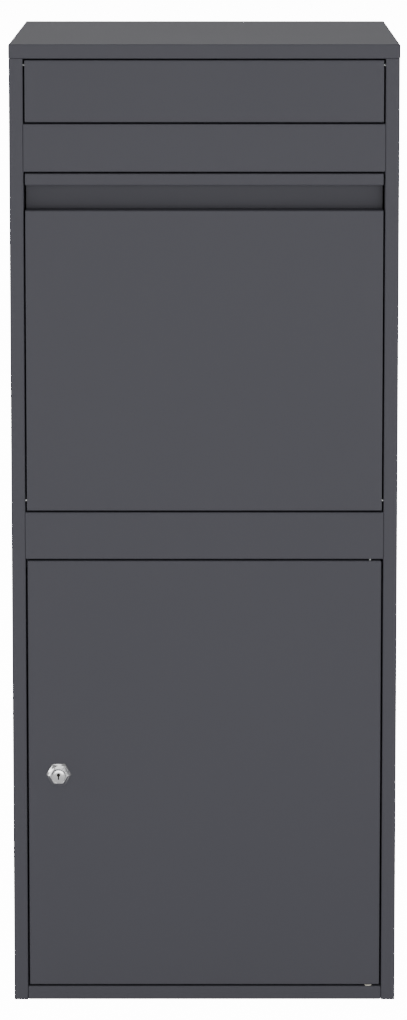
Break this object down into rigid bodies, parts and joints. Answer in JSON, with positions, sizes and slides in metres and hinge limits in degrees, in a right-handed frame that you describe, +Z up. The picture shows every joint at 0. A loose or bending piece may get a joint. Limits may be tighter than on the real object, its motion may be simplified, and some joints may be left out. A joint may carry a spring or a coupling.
{
  "type": "parcel and letter box",
  "caption": "Tall cabinet with a push-in letter flap, a tilt-out parcel hopper above a locking collection door, made of folded sheet steel.",
  "frame": {"origin": "middle of the base pan's underside, on the ground", "axes": "+X to the right seen from the front, the front faces -Y, +Z up; positions in metres"},
  "size_m": [0.41, 0.3887, 1.03],
  "materials": {
    "powder_coated_steel": "satin anthracite powder coat with a very fine texture",
    "zinc_plated_steel": "bright zinc plate",
    "lock_chrome": "bright nickel-chrome plate on die-cast zinc",
    "rubber": "matt black",
    "nylon": "natural, unpigmented"
  },
  "bodies": {
    "cabinet": {"left_side_panel": "powder_coated_steel", "right_side_panel": "powder_coated_steel", "back_panel": "powder_coated_steel", "roof_cap": "powder_coated_steel", "base_pan": "powder_coated_steel", "upper_crossbar": "powder_coated_steel", "middle_crossbar": "powder_coated_steel", "letter_chute": "powder_coated_steel", "parcel_guard": "powder_coated_steel", "guard_rivet_left": "zinc_plated_steel", "guard_rivet_right": "zinc_plated_steel", "hopper_bumper_left": "rubber", "hopper_bumper_right": "rubber", "lower_door_bumper_left": "rubber", "lower_door_bumper_right": "rubber", "hinge_washer": "nylon", "roof_nut_1": "zinc_plated_steel", "roof_nut_2": "zinc_plated_steel", "roof_nut_3": "zinc_plated_steel", "roof_nut_4": "zinc_plated_steel", "base_nut_1": "zinc_plated_steel", "base_nut_2": "zinc_plated_steel", "base_nut_3": "zinc_plated_steel", "base_nut_4": "zinc_plated_steel", "chute_nut_1": "zinc_plated_steel", "chute_nut_2": "zinc_plated_steel", "chute_nut_3": "zinc_plated_steel", "chute_nut_4": "zinc_plated_steel", "back_nut_1": "zinc_plated_steel", "back_nut_2": "zinc_plated_steel", "back_nut_3": "zinc_plated_steel", "back_nut_4": "zinc_plated_steel", "back_nut_5": "zinc_plated_steel", "back_nut_6": "zinc_plated_steel"},
    "letter_flap": {"letter_flap": "powder_coated_steel", "letter_flap_pin_left": "zinc_plated_steel", "letter_flap_pin_right": "zinc_plated_steel"},
    "parcel_hopper": {"parcel_door_panel": "powder_coated_steel", "hopper_left_cheek": "powder_coated_steel", "hopper_right_cheek": "powder_coated_steel", "hopper_tray": "powder_coated_steel", "hopper_pin_left": "zinc_plated_steel", "hopper_pin_right": "zinc_plated_steel", "tray_rivet_left_1": "zinc_plated_steel", "tray_rivet_left_2": "zinc_plated_steel", "tray_rivet_right_1": "zinc_plated_steel", "tray_rivet_right_2": "zinc_plated_steel"},
    "lower_door": {"lower_door_panel": "powder_coated_steel", "lower_door_pin_top": "zinc_plated_steel", "lower_door_pin_bottom": "zinc_plated_steel", "lock_housing": "lock_chrome", "lock_washer": "zinc_plated_steel", "lock_nut": "zinc_plated_steel"},
    "lock": {"lock_plug": "lock_chrome", "lock_cam": "zinc_plated_steel", "lock_cam_nut": "zinc_plated_steel"}
  },
  "joints": [
    {"name": "letter_flap_hinge", "type": "hinge", "parent": "cabinet", "child": "letter_flap", "pos_m": [0, -0.1855, 1.008], "axis": [1, 0, 0], "range_deg": [0, 70]},
    {"name": "parcel_hopper_hinge", "type": "hinge", "parent": "cabinet", "child": "parcel_hopper", "pos_m": [0, -0.1857, 0.5456], "axis": [1, 0, 0], "range_deg": [0, 50]},
    {"name": "lower_door_hinge", "type": "hinge", "parent": "cabinet", "child": "lower_door", "pos_m": [0.176, -0.186, 0.0167], "axis": [0, 0, 1], "range_deg": [0, 110]},
    {"name": "lock_turn", "type": "hinge", "parent": "lower_door", "child": "lock", "pos_m": [-0.1557, -0.1897, 0.2484], "axis": [0, 1, 0], "range_deg": [0, 90]}
  ]
}
